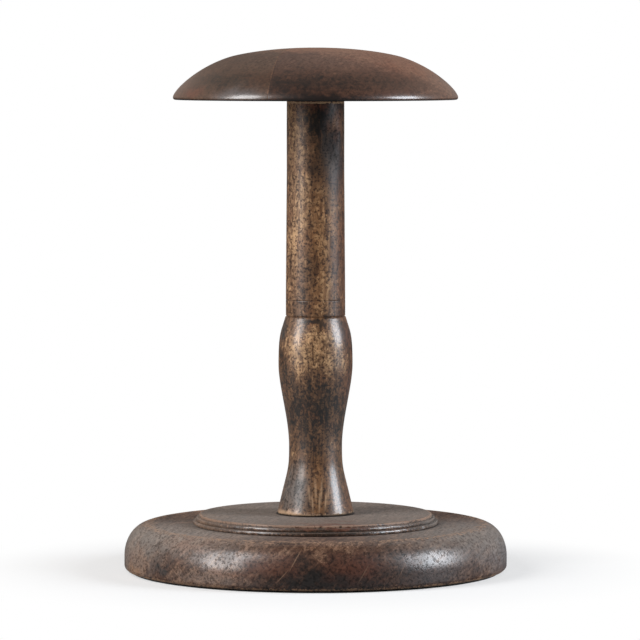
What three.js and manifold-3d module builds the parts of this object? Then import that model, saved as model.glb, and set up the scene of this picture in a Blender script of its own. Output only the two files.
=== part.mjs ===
// A milliner's hat stand in stained and waxed hardwood, in millimetres, with +Z up.
// A domed cap of two edge-glued boards sits on a turned stem, which is tenoned into a stepped round base.
// The origin is on the axis of the turning, where the felt under the base meets the shelf.

import * as THREE from 'three';
import { mergeVertices } from 'three/addons/utils/BufferGeometryUtils.js';
import Module from 'manifold-3d';

const wasm = await Module();
wasm.setup();

// The base: a disc of felt, a thick disc with a rounded rim, and a thinner reeded disc on top of it
const feltThickness = 0.8;
const feltInset = 3;
const baseDiameter = 183.2;
const baseThickness = 21.7;
const baseRimRise = 14.8;
const baseRimReach = 11.3;
const baseBottomRound = 2.4;
const stepDiameter = 117.4;
const stepThickness = 4.8;
const stepTopEdgeInset = 3;
const stepTopEdgeRound = 0.5;
const reedHeight = 1.75;
const reedDepth = 0.5;
const reedSetBack = 1.5;

// The stem, with its heights measured from the foot
const stemLength = 197.9;
const footDiameter = 36.4;
const footRound = 0.8;
const waistDiameter = 25.4;
const waistHeight = 32.4;
const bellyDiameter = 35.5;
const bellyHeight = 71.8;
const shoulderDiameter = 28.9;
const shoulderHeight = 94.4;
const columnFootDiameter = 28.4;
const columnTopDiameter = 27.5;
const columnTaperHeight = 165;
const grooveWidth = 0.7;
const grooveDepth = 0.35;
const scribedLineHeight = 102.6;
const scribedLineWidth = 0.4;
const scribedLineDepth = 0.15;
const columnTopChamfer = 0.5;
const tenonDiameter = 20;
const tenonLength = 13;
const tenonChamfer = 1;

// The cap, and the glued seam that runs across it along Y
const capDiameter = 135.9;
const capThickness = 24.8;
const capBottomRound = 1.1;
const seamFromAxis = 10.5;

// The double-ended screw that holds the cap on the stem
const dowelScrewDiameter = 7;
const dowelScrewShankDiameter = 5.6;
const dowelScrewShankLength = 8;
const dowelScrewPoint = 4.5;
const dowelScrewInCap = 17;
const dowelScrewInStem = 28;

// The screw and washer that draw the stem down onto the base
const baseScrewDiameter = 5.5;
const baseScrewLength = 40;
const baseScrewPoint = 5;
const baseScrewHeadDiameter = 11;
const baseScrewHeadHeight = 3.4;
const baseScrewHeadEdge = 0.5;
const screwSlotWidth = 1.4;
const screwSlotDepth = 1.5;
const washerDiameter = 17;
const washerBore = 6.2;
const washerThickness = 1.2;
const counterboreDiameter = 20;
const counterboreDepth = 7;

// Clearances between pieces that pass into one another
const boreClearance = 0.3;
const boreEndClearance = 0.6;

// Where the handles of the stem's curves lie, as shares of the rise and of the change of radius they span
const footHandleRiseShare = 0.67;
const footHandleReachShare = 0.86;
const waistHandleDownShare = 0.4;
const waistHandleUpShare = 0.34;
const bellyHandleDownShare = 0.27;
const bellyHandleUpShare = 0.67;
const shoulderHandleDropShare = 0.33;
const shoulderHandleReachShare = 0.64;

// The cap's dome, as shares of its radius and thickness: a flat crown turns down where the break is
const breakRadiusShare = 0.606;
const breakDropShare = 0.182;
const breakSlopeShare = 0.32;
const crownHandleShare = 0.353;
const crownEndHandleShare = 0.038;
const capShoulderHandleShare = 0.231;
const rimHandleShare = 0.13;

// Numbers of sides round each turned piece, and of steps along each curve
const baseSides = 80;
const stepSides = 64;
const stemSides = 40;
const capSides = 64;
const screwSides = 20;
const curveSteps = 9;
const crownSteps = 5;
const rimSteps = 8;
const reedSteps = 4;
const smallRoundSteps = 3;

// Heights at which the pieces meet
const baseBottom = feltThickness;
const baseTop = baseBottom + baseThickness;
const footZ = baseTop + stepThickness;
const stemTop = footZ + stemLength;
const capTop = stemTop + capThickness;
const tenonEnd = footZ - tenonLength;
const counterboreFloor = baseBottom + counterboreDepth;

const stainedCap = new THREE.MeshStandardMaterial({ color: 0x49382f, roughness: 0.42, metalness: 0 });
const stainedStem = new THREE.MeshStandardMaterial({ color: 0x6a4c34, roughness: 0.38, metalness: 0 });
const stainedBase = new THREE.MeshStandardMaterial({ color: 0x5a473b, roughness: 0.42, metalness: 0 });
const steel = new THREE.MeshStandardMaterial({ color: 0x8b8983, roughness: 0.45, metalness: 1 });
const felt = new THREE.MeshStandardMaterial({ color: 0x2f3029, roughness: 0.95, metalness: 0 });

// A point of an outline: its distance from the axis and its height
const at = (radius, z) => new THREE.Vector2(radius, z);

// The points along a curve but for its first, on which the stretch before it ends
function along(curve, steps) {
  return curve.getPoints(steps).slice(1);
}

function bezier(from, fromHandle, toHandle, to, steps) {
  return along(new THREE.CubicBezierCurve(from, fromHandle, toHandle, to), steps);
}

// A stretch of an ellipse round a centre, between two angles in degrees
function round(centre, reach, rise, fromDegrees, toDegrees, steps) {
  const from = THREE.MathUtils.degToRad(fromDegrees);
  const to = THREE.MathUtils.degToRad(toDegrees);
  const clockwise = toDegrees < fromDegrees;
  return along(new THREE.EllipseCurve(centre.x, centre.y, reach, rise, from, to, clockwise), steps);
}

// A closed geometry made into a solid that can be cut, with its shared corners merged
function solidFrom(geometry) {
  const bare = geometry.clone();
  bare.deleteAttribute('normal');
  bare.deleteAttribute('uv');
  const merged = mergeVertices(bare);
  const corners = merged.index.array;
  const triangles = [];
  for (let i = 0; i < corners.length; i += 3) {
    const [a, b, c] = corners.slice(i, i + 3);
    if (a !== b && b !== c && c !== a) triangles.push(a, b, c);
  }
  const mesh = new wasm.Mesh({
    numProp: 3,
    vertProperties: new Float32Array(merged.attributes.position.array),
    triVerts: new Uint32Array(triangles),
  });
  return new wasm.Manifold(mesh);
}

// A solid turned about Z. The outline runs upwards on its outer side and ends on the axis or where it began.
function turned(outline, sides) {
  return solidFrom(new THREE.LatheGeometry(outline, sides).rotateX(Math.PI / 2));
}

function block(width, depth, height, x, y, z) {
  return solidFrom(new THREE.BoxGeometry(width, depth, height).translate(x, y, z));
}

function piece(name, solid, material) {
  const { vertProperties, triVerts } = solid.getMesh();
  const geometry = new THREE.BufferGeometry();
  geometry.setAttribute('position', new THREE.BufferAttribute(vertProperties, 3));
  geometry.setIndex(new THREE.BufferAttribute(triVerts, 1));
  geometry.computeVertexNormals();
  const mesh = new THREE.Mesh(geometry, material);
  mesh.name = name;
  return mesh;
}

// The round of felt glued under the base, a little inside its edge
function baseFelt() {
  const radius = baseDiameter / 2 - feltInset;
  const outline = [at(0, 0), at(radius, 0), at(radius, feltThickness), at(0, feltThickness)];
  return turned(outline, baseSides);
}

// The thick disc: a rounded rim, a blind seat for the stem's tenon above and a counterbore below
function baseDisc() {
  const radius = baseDiameter / 2;
  const seatRadius = tenonDiameter / 2 + boreClearance;
  const seatFloor = tenonEnd - boreEndClearance;
  const screwRadius = baseScrewDiameter / 2 + boreClearance;
  const counterboreRadius = counterboreDiameter / 2;
  const roundCentre = at(radius - baseBottomRound, baseBottom + baseBottomRound);
  const rimCentre = at(radius - baseRimReach, baseTop - baseRimRise);
  const outline = [
    at(screwRadius, counterboreFloor),
    at(counterboreRadius, counterboreFloor),
    at(counterboreRadius, baseBottom),
    at(roundCentre.x, baseBottom),
    ...round(roundCentre, baseBottomRound, baseBottomRound, -90, 0, smallRoundSteps),
    at(radius, rimCentre.y),
    ...round(rimCentre, baseRimReach, baseRimRise, 0, 90, rimSteps),
    at(seatRadius, baseTop),
    at(seatRadius, seatFloor),
    at(screwRadius, seatFloor),
    at(screwRadius, counterboreFloor),
  ];
  return turned(outline, baseSides);
}

// One reed of the step's edge, a bead that swells from the radius of its two quirks
function reed(quirkRadius, bottom) {
  const middle = at(quirkRadius, bottom + reedHeight / 2);
  return round(middle, reedDepth, reedHeight / 2, -90, 90, reedSteps);
}

// The thin disc on the base: two reeds, the upper one set back, under a rounded top edge
function baseStep() {
  const lowerQuirk = stepDiameter / 2 - reedDepth;
  const upperQuirk = lowerQuirk - reedSetBack;
  const upperReedBottom = baseTop + reedHeight;
  const upperReedTop = upperReedBottom + reedHeight;
  const topRadius = stepDiameter / 2 - stepTopEdgeInset;
  const roundCentre = at(topRadius - stepTopEdgeRound, footZ - stepTopEdgeRound);
  const boreRadius = tenonDiameter / 2 + boreClearance;
  const outline = [
    at(boreRadius, baseTop),
    at(lowerQuirk, baseTop),
    ...reed(lowerQuirk, baseTop),
    at(upperQuirk, upperReedBottom),
    ...reed(upperQuirk, upperReedBottom),
    at(topRadius, upperReedTop),
    at(topRadius, roundCentre.y),
    ...round(roundCentre, stepTopEdgeRound, stepTopEdgeRound, 0, 90, smallRoundSteps),
    at(boreRadius, footZ),
    at(boreRadius, baseTop),
  ];
  return turned(outline, stepSides);
}

// A fine V cut round the stem, with its middle at the given height
function scribedLine(radius, z, width, depth) {
  return [at(radius, z - width / 2), at(radius - depth, z), at(radius, z + width / 2)];
}

// The vase at the foot of the stem, from its foot up over waist and belly to the shoulder
function vaseCurve(foot) {
  const waist = at(waistDiameter / 2, footZ + waistHeight);
  const belly = at(bellyDiameter / 2, footZ + bellyHeight);
  const shoulder = at(shoulderDiameter / 2, footZ + shoulderHeight);
  const footRise = waist.y - foot.y;
  const bellyRise = belly.y - waist.y;
  const shoulderRise = shoulder.y - belly.y;
  const footHandle = at(
    foot.x + (waist.x - foot.x) * footHandleReachShare,
    foot.y + footRise * footHandleRiseShare,
  );
  const shoulderHandle = at(
    shoulder.x + (belly.x - shoulder.x) * shoulderHandleReachShare,
    shoulder.y - shoulderRise * shoulderHandleDropShare,
  );
  const waistBelow = at(waist.x, waist.y - footRise * waistHandleDownShare);
  const waistAbove = at(waist.x, waist.y + bellyRise * waistHandleUpShare);
  const bellyBelow = at(belly.x, belly.y - bellyRise * bellyHandleDownShare);
  const bellyAbove = at(belly.x, belly.y + shoulderRise * bellyHandleUpShare);
  return [
    ...bezier(foot, footHandle, waistBelow, waist, curveSteps),
    ...bezier(waist, waistAbove, bellyBelow, belly, curveSteps),
    ...bezier(belly, bellyAbove, shoulderHandle, shoulder, curveSteps),
  ];
}

// The turned stem: a tenon below, the vase, and a plain column, bored at both ends for its screws
function stem() {
  const footRadius = footDiameter / 2;
  const foot = at(footRadius, footZ + footRound);
  const tenonRadius = tenonDiameter / 2;
  const lowerBoreRadius = baseScrewDiameter / 2 + boreClearance;
  const lowerBoreEnd = baseScrewTip() + boreEndClearance;
  const upperBoreRadius = dowelScrewDiameter / 2 + boreClearance;
  const upperBoreEnd = stemTop - dowelScrewInStem - boreEndClearance;
  const columnFoot = columnFootDiameter / 2;
  const columnTop = columnTopDiameter / 2;
  const grooveZ = footZ + shoulderHeight + grooveWidth / 2;
  const outline = [
    at(0, lowerBoreEnd),
    at(lowerBoreRadius, lowerBoreEnd),
    at(lowerBoreRadius, tenonEnd),
    at(tenonRadius - tenonChamfer, tenonEnd),
    at(tenonRadius, tenonEnd + tenonChamfer),
    at(tenonRadius, footZ),
    at(footRadius - footRound, footZ),
    ...round(at(footRadius - footRound, foot.y), footRound, footRound, -90, 0, smallRoundSteps),
    ...vaseCurve(foot),
    ...scribedLine(columnFoot, grooveZ, grooveWidth, grooveDepth).slice(1),
    ...scribedLine(columnFoot, footZ + scribedLineHeight, scribedLineWidth, scribedLineDepth),
    at(columnTop, footZ + columnTaperHeight),
    at(columnTop, stemTop - columnTopChamfer),
    at(columnTop - columnTopChamfer, stemTop),
    at(upperBoreRadius, stemTop),
    at(upperBoreRadius, upperBoreEnd),
    at(0, upperBoreEnd),
  ];
  return turned(outline, stemSides);
}

// The whole cap: flat beneath with a blind bore, a small round, a steep shoulder and a flat crown
function wholeCap() {
  const radius = capDiameter / 2;
  const boreRadius = dowelScrewDiameter / 2 + boreClearance;
  const boreEnd = stemTop + dowelScrewInCap + boreEndClearance;
  const roundCentre = at(radius - capBottomRound, stemTop + capBottomRound);
  const rim = at(radius, roundCentre.y);
  const apex = at(0, capTop);
  const shoulderTop = at(radius * breakRadiusShare, capTop - capThickness * breakDropShare);
  const downSlope = (reach) => at(shoulderTop.x + reach, shoulderTop.y - reach * breakSlopeShare);
  const rimHandle = at(radius, rim.y + capThickness * rimHandleShare);
  const crownHandle = at(radius * crownHandleShare, capTop);
  const outline = [
    at(0, boreEnd),
    at(boreRadius, boreEnd),
    at(boreRadius, stemTop),
    at(roundCentre.x, stemTop),
    ...round(roundCentre, capBottomRound, capBottomRound, -90, 0, smallRoundSteps),
    ...bezier(rim, rimHandle, downSlope(radius * capShoulderHandleShare), shoulderTop, curveSteps),
    ...bezier(shoulderTop, downSlope(-radius * crownEndHandleShare), crownHandle, apex, crownSteps),
  ];
  return turned(outline, capSides);
}

// The space on the wide board's side of the cap's seam, large enough to hold the whole cap
function wideSide() {
  const size = capDiameter * 2;
  return block(size, size, size, size / 2 - seamFromAxis, 0, capTop);
}

// The screw that is threaded at both ends, plain where the stem and the cap meet
function dowelScrew() {
  const radius = dowelScrewDiameter / 2;
  const shankRadius = dowelScrewShankDiameter / 2;
  const bottom = stemTop - dowelScrewInStem;
  const top = stemTop + dowelScrewInCap;
  const shankBottom = stemTop - dowelScrewShankLength / 2;
  const shankTop = stemTop + dowelScrewShankLength / 2;
  const outline = [
    at(0, bottom),
    at(radius, bottom + dowelScrewPoint),
    at(radius, shankBottom),
    at(shankRadius, shankBottom),
    at(shankRadius, shankTop),
    at(radius, shankTop),
    at(radius, top - dowelScrewPoint),
    at(0, top),
  ];
  return turned(outline, screwSides);
}

function baseWasher() {
  const bore = washerBore / 2;
  const radius = washerDiameter / 2;
  const bottom = counterboreFloor - washerThickness;
  const outline = [
    at(bore, bottom),
    at(radius, bottom),
    at(radius, counterboreFloor),
    at(bore, counterboreFloor),
    at(bore, bottom),
  ];
  return turned(outline, screwSides);
}

function baseScrewTip() {
  return counterboreFloor - washerThickness + baseScrewLength;
}

// The round-headed slotted screw, with its head down in the counterbore
function baseScrew() {
  const radius = baseScrewDiameter / 2;
  const headRadius = baseScrewHeadDiameter / 2;
  const headTop = counterboreFloor - washerThickness;
  const headBottom = headTop - baseScrewHeadHeight;
  const headCentre = at(0, headTop - baseScrewHeadEdge);
  const domeHeight = baseScrewHeadHeight - baseScrewHeadEdge;
  const tip = baseScrewTip();
  const outline = [
    at(0, headBottom),
    ...round(headCentre, headRadius, domeHeight, -90, 0, rimSteps),
    at(headRadius, headTop),
    at(radius, headTop),
    at(radius, tip - baseScrewPoint),
    at(0, tip),
  ];
  const slotLength = baseScrewHeadDiameter * 2;
  const slot = block(slotLength, screwSlotWidth, screwSlotDepth * 2, 0, 0, headBottom);
  return turned(outline, screwSides).subtract(slot);
}

const cap = wholeCap();
const wide = wideSide();

const hatStand = new THREE.Group();
hatStand.add(
  piece('base_felt', baseFelt(), felt),
  piece('base_disc', baseDisc(), stainedBase),
  piece('base_step', baseStep(), stainedBase),
  piece('stem', stem(), stainedStem),
  piece('base_washer', baseWasher(), steel),
  piece('base_screw', baseScrew(), steel),
  piece('cap_dowel_screw', dowelScrew(), steel),
  piece('cap_board_wide', cap.intersect(wide), stainedCap),
  piece('cap_board_narrow', cap.subtract(wide), stainedCap),
);

export default hatStand;
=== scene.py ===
import math

import bmesh
import bpy
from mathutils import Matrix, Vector, noise


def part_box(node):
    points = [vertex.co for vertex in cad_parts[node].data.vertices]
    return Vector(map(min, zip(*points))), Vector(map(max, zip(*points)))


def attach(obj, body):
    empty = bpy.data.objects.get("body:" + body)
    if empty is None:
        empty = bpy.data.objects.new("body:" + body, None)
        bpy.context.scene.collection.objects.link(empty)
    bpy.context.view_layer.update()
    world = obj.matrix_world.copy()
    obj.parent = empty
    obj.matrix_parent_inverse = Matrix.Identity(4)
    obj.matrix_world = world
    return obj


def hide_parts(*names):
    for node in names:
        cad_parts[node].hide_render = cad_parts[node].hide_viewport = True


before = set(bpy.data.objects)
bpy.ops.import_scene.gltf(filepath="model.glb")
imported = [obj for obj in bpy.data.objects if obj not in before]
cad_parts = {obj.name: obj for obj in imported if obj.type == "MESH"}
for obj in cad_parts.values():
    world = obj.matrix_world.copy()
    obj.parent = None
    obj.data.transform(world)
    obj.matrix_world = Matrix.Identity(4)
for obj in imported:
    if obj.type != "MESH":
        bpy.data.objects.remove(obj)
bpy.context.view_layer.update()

MM = 0.001


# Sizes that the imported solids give

base_low, base_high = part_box("base_disc")
step_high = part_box("base_step")[1]
stem_low, stem_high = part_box("stem")
cap_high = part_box("cap_board_wide")[1]
narrow_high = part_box("cap_board_narrow")[1]
felt_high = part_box("base_felt")[1]
base_screw_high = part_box("base_screw")[1]
washer_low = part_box("base_washer")[0]
dowel_screw_low, dowel_screw_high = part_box("cap_dowel_screw")

BASE_RADIUS = base_high.x
BASE_BOTTOM = base_low.z
BASE_TOP = base_high.z
STEP_RADIUS = step_high.x
FOOT_Z = step_high.z
TENON_END = stem_low.z
FOOT_RADIUS = stem_high.x
STEM_TOP = stem_high.z
CAP_RADIUS = cap_high.x
CAP_TOP = cap_high.z
CAP_THICKNESS = CAP_TOP - STEM_TOP
SEAM_X = narrow_high.x

# Sizes of the turned outlines, as in the solids

RIM_RISE = 14.8 * MM
RIM_REACH = 11.3 * MM
BASE_BOTTOM_ROUND = 2.4 * MM
COUNTERBORE_RADIUS = 10 * MM
COUNTERBORE_DEPTH = 7 * MM
SEAT_DEPTH = 8.8 * MM
TENON_RADIUS = 10 * MM
TENON_CLEARANCE = 0.3 * MM
BASE_SCREW_BORE = 3.05 * MM

REED_HEIGHT = 1.75 * MM
REED_DEPTH = 0.5 * MM
REED_SET_BACK = 1.5 * MM
STEP_TOP_EDGE_INSET = 3 * MM
STEP_TOP_EDGE_ROUND = 0.5 * MM

FOOT_ROUND = 0.8 * MM
WAIST = (12.7 * MM, 32.4 * MM)
BELLY = (17.75 * MM, 71.8 * MM)
SHOULDER = (14.45 * MM, 94.4 * MM)
COLUMN_FOOT_RADIUS = 14.2 * MM
COLUMN_TOP_RADIUS = 13.75 * MM
COLUMN_TAPER_HEIGHT = 165 * MM
SHOULDER_GROOVE = (0.7 * MM, 0.35 * MM)
SCRIBED_LINE = (0.4 * MM, 0.15 * MM)
SCRIBED_LINE_HEIGHT = 102.6 * MM
COLUMN_TOP_CHAMFER = 0.5 * MM
STEM_BORE_RADIUS = 3.8 * MM
STEM_BORE_DEPTH = 28.6 * MM

CAP_BOTTOM_ROUND = 1.1 * MM
CAP_BORE_DEPTH = 17.6 * MM

BASE_SCREW_RADIUS = 2.75 * MM
BASE_SCREW_POINT = 5 * MM
DOWEL_SCREW_POINT = 4.5 * MM
DOWEL_SCREW_SHANK = (2.8 * MM, 8 * MM)
THREAD_PITCH = 2.6 * MM
THREAD_CORE = 0.72
THREAD_STEEPNESS = 3.4
THREAD_SIDES = 24
PLAIN_SHANK_SHARE = 0.33
SCREW_TIP_SHARE = 0.1

# The handles of the outlines' curves: shares of the stretch that they span, and in the cap of its radius

FOOT_HANDLE_RISE = 0.67
FOOT_HANDLE_REACH = 0.86
WAIST_HANDLE_DOWN = 0.4
WAIST_HANDLE_UP = 0.34
BELLY_HANDLE_DOWN = 0.27
BELLY_HANDLE_UP = 0.67
SHOULDER_HANDLE_DROP = 0.33
SHOULDER_HANDLE_REACH = 0.64
CAP_RIM_HANDLE_RISE = 0.13
CAP_TURN = (0.606, 0.182)
CAP_TURN_SLOPE = 0.32
CAP_TURN_HANDLE_OUT = 0.231
CAP_TURN_HANDLE_IN = 0.038
CROWN_HANDLE = 0.353

# The wear along the cap's seam: the mask that it goes to on each board, its width and its strength

WIDE_BOARD_SEAM_WEAR = ("grime_and_shade", 1.8 * MM, 0.4)
NARROW_BOARD_SEAM_WEAR = ("rubbed", 1.4 * MM, 0.85)
SEAM_SUNK_WIDTH = 0.35 * MM
SEAM_SUNK_DEPTH = 0.06 * MM

# How uneven a turned surface is: the noise's frequency in each metre, and its share. The waves' middle
# lies under the solid's surface by a share of their height, so that few of them are cut off at it.

WAVES = ((60, 0.7), (190, 0.3))
WAVES_SUNK = 0.3
CRUMBS = ((430, 1), (900, 0.5))
ROUNDING = 1.001

# The camera of the photograph: its distance from the stem, its height, and how far it looks down

CAMERA_DISTANCE = 2.0315
CAMERA_HEIGHT = 0.2482
CAMERA_AZIMUTH = math.radians(10)
CAMERA_PITCH = 0.063
CAMERA_LENS = 239.6
FRONT = CAMERA_AZIMUTH - math.pi / 2
STAND_LEFT_OF_MIDDLE = math.radians(0.06)


# Outlines: lists of (radius, height) points

def bezier(start, start_handle, end_handle, end, steps):
    """The points along a cubic curve, but for its first."""
    points = []
    for i in range(1, steps + 1):
        t = i / steps
        u = 1 - t
        weights = (u**3, 3 * u * u * t, 3 * u * t * t, t**3)
        corners = (start, start_handle, end_handle, end)
        points.append(tuple(sum(w * c[k] for w, c in zip(weights, corners)) for k in (0, 1)))
    return points


def arc(centre, reach, rise, start, end, steps):
    """A stretch of an ellipse between two angles in degrees, both ends included."""
    angles = [math.radians(start + (end - start) * i / steps) for i in range(steps + 1)]
    return [(centre[0] + reach * math.cos(a), centre[1] + rise * math.sin(a)) for a in angles]


def filled(outline, longest, marks=()):
    """The outline with points added: none further apart than a length, and close together near marks."""
    points = [outline[0]]
    for start, end in zip(outline, outline[1:]):
        stretches = [(start, end)]
        while stretches:
            first, last = stretches.pop()
            middle = ((first[0] + last[0]) / 2, (first[1] + last[1]) / 2)
            # Near a mark the points come as close as half its reach.
            near = [max(math.dist(middle, spot), reach * 0.5) for spot, reach, strength in marks]
            if math.dist(first, last) > min([longest, *near]) * ROUNDING:
                stretches += [(middle, last), (first, middle)]
            elif last != points[-1]:
                points.append(last)
    return points


def rounded(outline, radius, sharpest=50, leg_share=0.4):
    """The outline with each corner sharper than an angle in degrees cut to three points.

    A cut takes at most a share of the leg on each side of the corner.
    """
    points = [outline[0]]
    for before, corner, after in zip(outline, outline[1:], outline[2:]):
        way_in = Vector(corner) - Vector(before)
        way_out = Vector(after) - Vector(corner)
        if math.degrees(way_in.angle(way_out)) < sharpest:
            points.append(corner)
            continue
        cut_in = min(radius, way_in.length * leg_share)
        cut_out = min(radius, way_out.length * leg_share)
        first = Vector(corner) - way_in.normalized() * cut_in
        last = Vector(corner) + way_out.normalized() * cut_out
        middle = (first + last + 2 * Vector(corner)) / 4
        points += [tuple(first), tuple(middle), tuple(last)]
    return points + [outline[-1]]


def base_outline():
    seat = TENON_RADIUS + TENON_CLEARANCE
    floor = BASE_BOTTOM + COUNTERBORE_DEPTH
    bottom_round = (BASE_RADIUS - BASE_BOTTOM_ROUND, BASE_BOTTOM + BASE_BOTTOM_ROUND)
    rim = (BASE_RADIUS - RIM_REACH, BASE_TOP - RIM_RISE)
    return [
        (BASE_SCREW_BORE, floor),
        (COUNTERBORE_RADIUS, floor),
        (COUNTERBORE_RADIUS, BASE_BOTTOM),
        *arc(bottom_round, BASE_BOTTOM_ROUND, BASE_BOTTOM_ROUND, -90, 0, steps=6),
        *arc(rim, RIM_REACH, RIM_RISE, 0, 90, steps=28),
        (seat, BASE_TOP),
        (seat, BASE_TOP - SEAT_DEPTH),
        (BASE_SCREW_BORE, BASE_TOP - SEAT_DEPTH),
        (BASE_SCREW_BORE, floor),
    ]


def step_outline():
    bore = TENON_RADIUS + TENON_CLEARANCE
    lower = STEP_RADIUS - REED_DEPTH
    upper = lower - REED_SET_BACK
    top = STEP_RADIUS - STEP_TOP_EDGE_INSET
    reed_tops = (BASE_TOP + REED_HEIGHT, BASE_TOP + 2 * REED_HEIGHT)
    edge = (top - STEP_TOP_EDGE_ROUND, FOOT_Z - STEP_TOP_EDGE_ROUND)
    return [
        (bore, BASE_TOP),
        *arc((lower, BASE_TOP + REED_HEIGHT / 2), REED_DEPTH, REED_HEIGHT / 2, -90, 90, steps=10),
        (upper, reed_tops[0]),
        *arc((upper, reed_tops[0] + REED_HEIGHT / 2), REED_DEPTH, REED_HEIGHT / 2, -90, 90, steps=10),
        (top, reed_tops[1]),
        *arc(edge, STEP_TOP_EDGE_ROUND, STEP_TOP_EDGE_ROUND, 0, 90, steps=4),
        (bore, FOOT_Z),
        (bore, BASE_TOP),
    ]


def cut_line(radius, height, width, depth):
    """A fine V cut round the stem."""
    return [(radius, height - width / 2), (radius - depth, height), (radius, height + width / 2)]


def stem_outline():
    foot = (FOOT_RADIUS, FOOT_Z + FOOT_ROUND)
    waist = (WAIST[0], FOOT_Z + WAIST[1])
    belly = (BELLY[0], FOOT_Z + BELLY[1])
    shoulder = (SHOULDER[0], FOOT_Z + SHOULDER[1])
    foot_rise = waist[1] - foot[1]
    belly_rise = belly[1] - waist[1]
    shoulder_rise = shoulder[1] - belly[1]
    foot_handle = (
        foot[0] + (waist[0] - foot[0]) * FOOT_HANDLE_REACH,
        foot[1] + foot_rise * FOOT_HANDLE_RISE,
    )
    waist_below = (waist[0], waist[1] - foot_rise * WAIST_HANDLE_DOWN)
    waist_above = (waist[0], waist[1] + belly_rise * WAIST_HANDLE_UP)
    belly_below = (belly[0], belly[1] - belly_rise * BELLY_HANDLE_DOWN)
    belly_above = (belly[0], belly[1] + shoulder_rise * BELLY_HANDLE_UP)
    shoulder_handle = (
        shoulder[0] + (belly[0] - shoulder[0]) * SHOULDER_HANDLE_REACH,
        shoulder[1] - shoulder_rise * SHOULDER_HANDLE_DROP,
    )
    bore_end = base_screw_high.z + TENON_CLEARANCE * 2
    groove = cut_line(COLUMN_FOOT_RADIUS, shoulder[1] + SHOULDER_GROOVE[0] / 2, *SHOULDER_GROOVE)
    return [
        (0, bore_end),
        (BASE_SCREW_BORE, bore_end),
        (BASE_SCREW_BORE, TENON_END),
        (TENON_RADIUS - MM, TENON_END),
        (TENON_RADIUS, TENON_END + MM),
        (TENON_RADIUS, FOOT_Z),
        *arc((FOOT_RADIUS - FOOT_ROUND, foot[1]), FOOT_ROUND, FOOT_ROUND, -90, 0, steps=5),
        *bezier(foot, foot_handle, waist_below, waist, steps=24),
        *bezier(waist, waist_above, belly_below, belly, steps=24),
        *bezier(belly, belly_above, shoulder_handle, shoulder, steps=20),
        *groove[1:],
        *cut_line(COLUMN_FOOT_RADIUS, FOOT_Z + SCRIBED_LINE_HEIGHT, *SCRIBED_LINE),
        (COLUMN_TOP_RADIUS, FOOT_Z + COLUMN_TAPER_HEIGHT),
        (COLUMN_TOP_RADIUS, STEM_TOP - COLUMN_TOP_CHAMFER),
        (COLUMN_TOP_RADIUS - COLUMN_TOP_CHAMFER, STEM_TOP),
        (STEM_BORE_RADIUS, STEM_TOP),
        (STEM_BORE_RADIUS, STEM_TOP - STEM_BORE_DEPTH),
        (0, STEM_TOP - STEM_BORE_DEPTH),
    ]


def cap_outline():
    bottom_round = (CAP_RADIUS - CAP_BOTTOM_ROUND, STEM_TOP + CAP_BOTTOM_ROUND)
    rim = (CAP_RADIUS, STEM_TOP + CAP_BOTTOM_ROUND)
    turn = (CAP_RADIUS * CAP_TURN[0], CAP_TOP - CAP_THICKNESS * CAP_TURN[1])
    out = CAP_RADIUS * CAP_TURN_HANDLE_OUT
    back = CAP_RADIUS * CAP_TURN_HANDLE_IN
    rim_handle = (CAP_RADIUS, rim[1] + CAP_THICKNESS * CAP_RIM_HANDLE_RISE)
    below_turn = (turn[0] + out, turn[1] - out * CAP_TURN_SLOPE)
    above_turn = (turn[0] - back, turn[1] + back * CAP_TURN_SLOPE)
    crown_handle = (CAP_RADIUS * CROWN_HANDLE, CAP_TOP)
    return [
        (0, STEM_TOP + CAP_BORE_DEPTH),
        (STEM_BORE_RADIUS, STEM_TOP + CAP_BORE_DEPTH),
        (STEM_BORE_RADIUS, STEM_TOP),
        *arc(bottom_round, CAP_BOTTOM_ROUND, CAP_BOTTOM_ROUND, -90, 0, steps=6),
        *bezier(rim, rim_handle, below_turn, turn, steps=26),
        *bezier(turn, above_turn, crown_handle, (0, CAP_TOP), steps=22),
    ]


# Meshes

def nearness(point, marks):
    """How near an outline's point lies to marks, each a place, a reach and a strength there."""
    return max(
        (strength * math.exp(-(math.dist(point, spot) / reach) ** 2) for spot, reach, strength in marks),
        default=0,
    )


def unevenness(point, octaves):
    return sum(share * noise.noise(point * frequency) for frequency, share in octaves)


def dented(point, angle, dents):
    """How far dents push a point in: each is a turn from the front, a height, two sizes and a depth."""
    depth = 0
    for turn, height, across, tall, deep in dents:
        off = (angle - FRONT - math.radians(turn) + math.pi) % math.tau - math.pi
        away = math.hypot(off * math.hypot(point.x, point.y) / across, (point.z - height) / tall)
        depth += deep * max(0, 1 - away**2)
    return depth


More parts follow.
